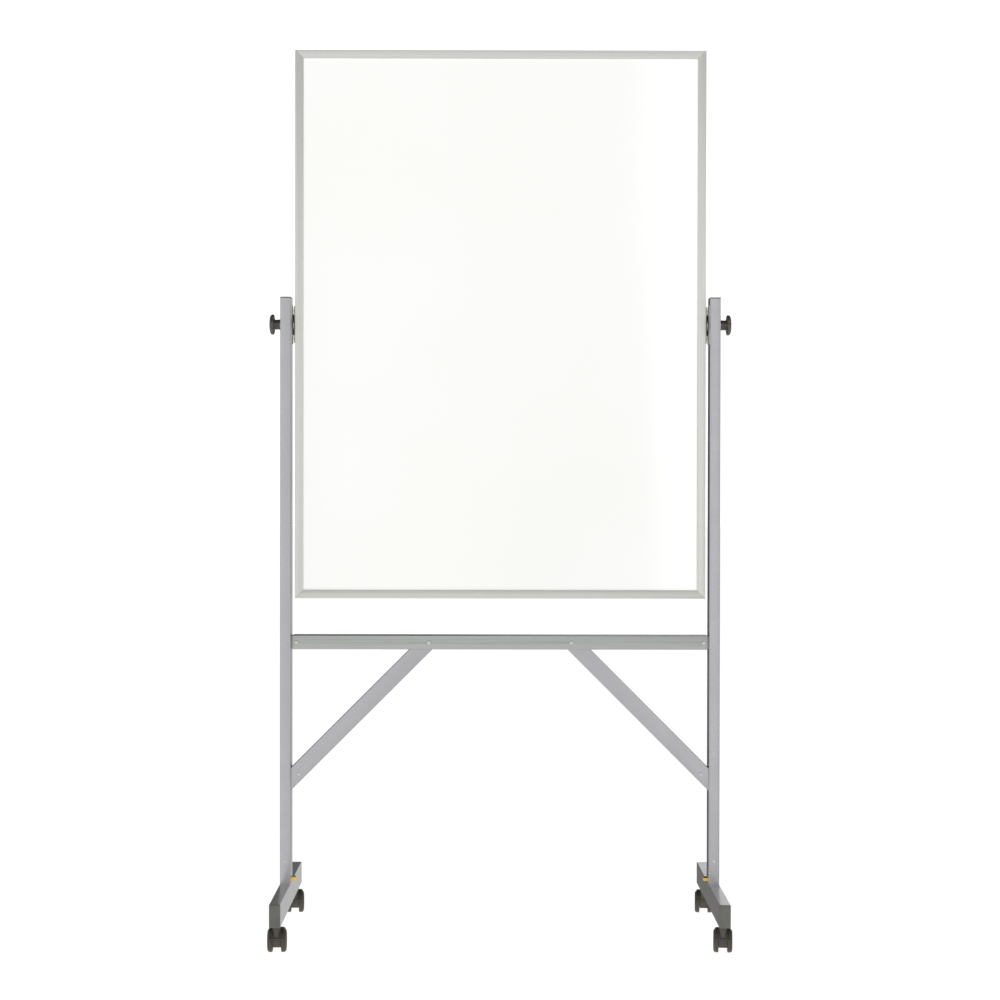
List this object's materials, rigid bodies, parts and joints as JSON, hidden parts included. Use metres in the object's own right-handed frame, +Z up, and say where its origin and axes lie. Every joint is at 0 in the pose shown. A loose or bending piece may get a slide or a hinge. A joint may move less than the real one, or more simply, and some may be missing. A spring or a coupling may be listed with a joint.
{
  "type": "rolling whiteboard",
  "caption": "Reversible double-sided whiteboard in a slim aluminium frame, pivoting between two uprights on an H-shaped stand with clamp knobs and twin-wheel swivel casters.",
  "frame": {"origin": "on the floor, midway between the two uprights and under the board's plane", "axes": "+Z up, +X to the right of a user who stands in front, -Y towards that user"},
  "size_m": [1.029, 0.508, 1.9671],
  "materials": {
    "writing_surface": "gloss white dry-erase enamel",
    "core": "matt honeycomb board",
    "board_frame": "satin anodised",
    "stand_tube": "satin silver powder coat",
    "inner_bracket": "moulded nylon",
    "spigot": "mill finish",
    "zinc_steel": "bright zinc",
    "yellow_zinc": "yellow zinc plate",
    "end_cap": "moulded grey plastic",
    "pivot_plate": "zinc-plated steel",
    "friction": "black nylon",
    "knob": "black phenolic, semi-gloss",
    "caster": "dark grey nylon",
    "wheel": "dark grey nylon tread",
    "insert": "brass"
  },
  "bodies": {
    "stand": {"brace_brackets": "inner_bracket", "brace_left": "stand_tube", "brace_right": "stand_tube", "caster_sockets": "friction", "caster_stems": "zinc_steel", "cross_rail": "stand_tube", "foot_bolts": "yellow_zinc", "foot_end_caps": "end_cap", "foot_left": "stand_tube", "foot_right": "stand_tube", "foot_screws": "zinc_steel", "frame_bolts": "zinc_steel", "frame_screws": "zinc_steel", "pivot_bushing_left": "friction", "pivot_bushing_right": "friction", "rail_end_brackets": "inner_bracket", "upright_caps": "end_cap", "upright_left": "stand_tube", "upright_plate_rivets": "zinc_steel", "upright_plates": "pivot_plate", "upright_right": "stand_tube", "upright_spigots": "spigot"},
    "board": {"writing_sheet_front": "writing_surface", "writing_sheet_back": "writing_surface", "board_core": "core", "board_frame_top": "board_frame", "board_frame_bottom": "board_frame", "board_frame_left": "board_frame", "board_frame_right": "board_frame", "corner_keys": "inner_bracket", "pivot_plate_left": "pivot_plate", "pivot_plate_right": "pivot_plate", "pivot_plate_screws": "zinc_steel", "pivot_stud_left": "zinc_steel", "pivot_stud_right": "zinc_steel", "friction_disc_left": "friction", "friction_disc_right": "friction"},
    "knob_clamp_left": {"knob_washer_left": "zinc_steel"},
    "knob_left": {"knob_left": "knob", "knob_insert_left": "insert"},
    "knob_clamp_right": {"knob_washer_right": "zinc_steel"},
    "knob_right": {"knob_right": "knob", "knob_insert_right": "insert"},
    "caster_front_left": {"caster_hood_front_left": "caster", "caster_axle_front_left": "zinc_steel"},
    "wheel_front_left_a": {"caster_wheel_front_left_a": "wheel"},
    "wheel_front_left_b": {"caster_wheel_front_left_b": "wheel"},
    "caster_front_right": {"caster_hood_front_right": "caster", "caster_axle_front_right": "zinc_steel"},
    "wheel_front_right_a": {"caster_wheel_front_right_a": "wheel"},
    "wheel_front_right_b": {"caster_wheel_front_right_b": "wheel"},
    "caster_rear_left": {"caster_hood_rear_left": "caster", "caster_axle_rear_left": "zinc_steel"},
    "wheel_rear_left_a": {"caster_wheel_rear_left_a": "wheel"},
    "wheel_rear_left_b": {"caster_wheel_rear_left_b": "wheel"},
    "caster_rear_right": {"caster_hood_rear_right": "caster", "caster_axle_rear_right": "zinc_steel"},
    "wheel_rear_right_a": {"caster_wheel_rear_right_a": "wheel"},
    "wheel_rear_right_b": {"caster_wheel_rear_right_b": "wheel"}
  },
  "joints": [
    {"name": "board_flip", "type": "hinge", "parent": "stand", "child": "board", "pos_m": [0, 0, 1.3575], "axis": [1, 0, 0], "continuous": true},
    {"name": "knob_clamp_left_slide", "type": "slide", "parent": "board", "child": "knob_clamp_left", "axis": [-1, 0, 0], "range_m": [0, 0.00251]},
    {"name": "knob_left_turn", "type": "hinge", "parent": "knob_clamp_left", "child": "knob_left", "pos_m": [-0.5, 0, 1.3575], "axis": [-1, 0, 0], "range_deg": [0, 720]},
    {"name": "knob_clamp_right_slide", "type": "slide", "parent": "board", "child": "knob_clamp_right", "axis": [1, 0, 0], "range_m": [0, 0.00251]},
    {"name": "knob_right_turn", "type": "hinge", "parent": "knob_clamp_right", "child": "knob_right", "pos_m": [0.5, 0, 1.3575], "axis": [1, 0, 0], "range_deg": [0, 720]},
    {"name": "caster_front_left_swivel", "type": "hinge", "parent": "stand", "child": "caster_front_left", "pos_m": [-0.477, -0.2095, 0.05], "axis": [0, 0, 1], "continuous": true},
    {"name": "wheel_front_left_a_spin", "type": "hinge", "parent": "caster_front_left", "child": "wheel_front_left_a", "pos_m": [-0.47752, -0.19451, 0.025], "axis": [0.9994, 0.0349, 0], "continuous": true},
    {"name": "wheel_front_left_b_spin", "type": "hinge", "parent": "caster_front_left", "child": "wheel_front_left_b", "pos_m": [-0.47752, -0.19451, 0.025], "axis": [0.9994, 0.0349, 0], "continuous": true},
    {"name": "caster_front_right_swivel", "type": "hinge", "parent": "stand", "child": "caster_front_right", "pos_m": [0.477, -0.2095, 0.05], "axis": [0, 0, 1], "continuous": true},
    {"name": "wheel_front_right_a_spin", "type": "hinge", "parent": "caster_front_right", "child": "wheel_front_right_a", "pos_m": [0.47831, -0.19456, 0.025], "axis": [0.9962, -0.0872, 0], "continuous": true},
    {"name": "wheel_front_right_b_spin", "type": "hinge", "parent": "caster_front_right", "child": "wheel_front_right_b", "pos_m": [0.47831, -0.19456, 0.025], "axis": [0.9962, -0.0872, 0], "continuous": true},
    {"name": "caster_rear_left_swivel", "type": "hinge", "parent": "stand", "child": "caster_rear_left", "pos_m": [-0.477, 0.2095, 0.05], "axis": [0, 0, 1], "continuous": true},
    {"name": "wheel_rear_left_a_spin", "type": "hinge", "parent": "caster_rear_left", "child": "wheel_rear_left_a", "pos_m": [-0.47752, 0.22449, 0.025], "axis": [0.9994, 0.0349, 0], "continuous": true},
    {"name": "wheel_rear_left_b_spin", "type": "hinge", "parent": "caster_rear_left", "child": "wheel_rear_left_b", "pos_m": [-0.47752, 0.22449, 0.025], "axis": [0.9994, 0.0349, 0], "continuous": true},
    {"name": "caster_rear_right_swivel", "type": "hinge", "parent": "stand", "child": "caster_rear_right", "pos_m": [0.477, 0.2095, 0.05], "axis": [0, 0, 1], "continuous": true},
    {"name": "wheel_rear_right_a_spin", "type": "hinge", "parent": "caster_rear_right", "child": "wheel_rear_right_a", "pos_m": [0.47831, 0.22444, 0.025], "axis": [0.9962, -0.0872, 0], "continuous": true},
    {"name": "wheel_rear_right_b_spin", "type": "hinge", "parent": "caster_rear_right", "child": "wheel_rear_right_b", "pos_m": [0.47831, 0.22444, 0.025], "axis": [0.9962, -0.0872, 0], "continuous": true}
  ],
  "couplings": [
    {"joint": "knob_clamp_left_slide", "follows": "knob_left_turn", "m_per_rad": 0.00019894},
    {"joint": "knob_clamp_right_slide", "follows": "knob_right_turn", "m_per_rad": 0.00019894}
  ]
}
